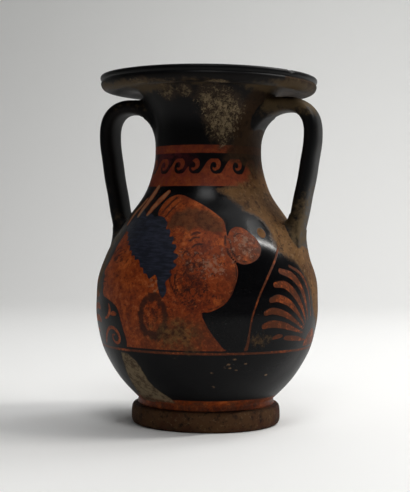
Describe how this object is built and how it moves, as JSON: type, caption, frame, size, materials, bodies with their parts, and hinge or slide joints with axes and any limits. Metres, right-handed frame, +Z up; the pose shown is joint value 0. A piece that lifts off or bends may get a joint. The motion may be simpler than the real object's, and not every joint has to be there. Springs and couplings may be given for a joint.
{
  "type": "red-figure pelike",
  "caption": "Small ancient fired-clay pelike: a hollow sagging pot with a wide flat lip, a disc foot and two strap handles from neck to shoulder.",
  "frame": {"origin": "centre of the ring that the foot stands on", "axes": "+Z up along the pot's axis, +X towards the right-hand handle as seen from the painted front, which faces -Y"},
  "size_m": [0.134, 0.129, 0.2],
  "materials": {
    "painted_clay": "fired clay with black gloss slip, reserved orange-red figures, a worn matte brown slip on one side, and pale grey incrustation"
  },
  "bodies": {
    "root": {"pelike": "painted_clay"}
  },
  "joints": []
}
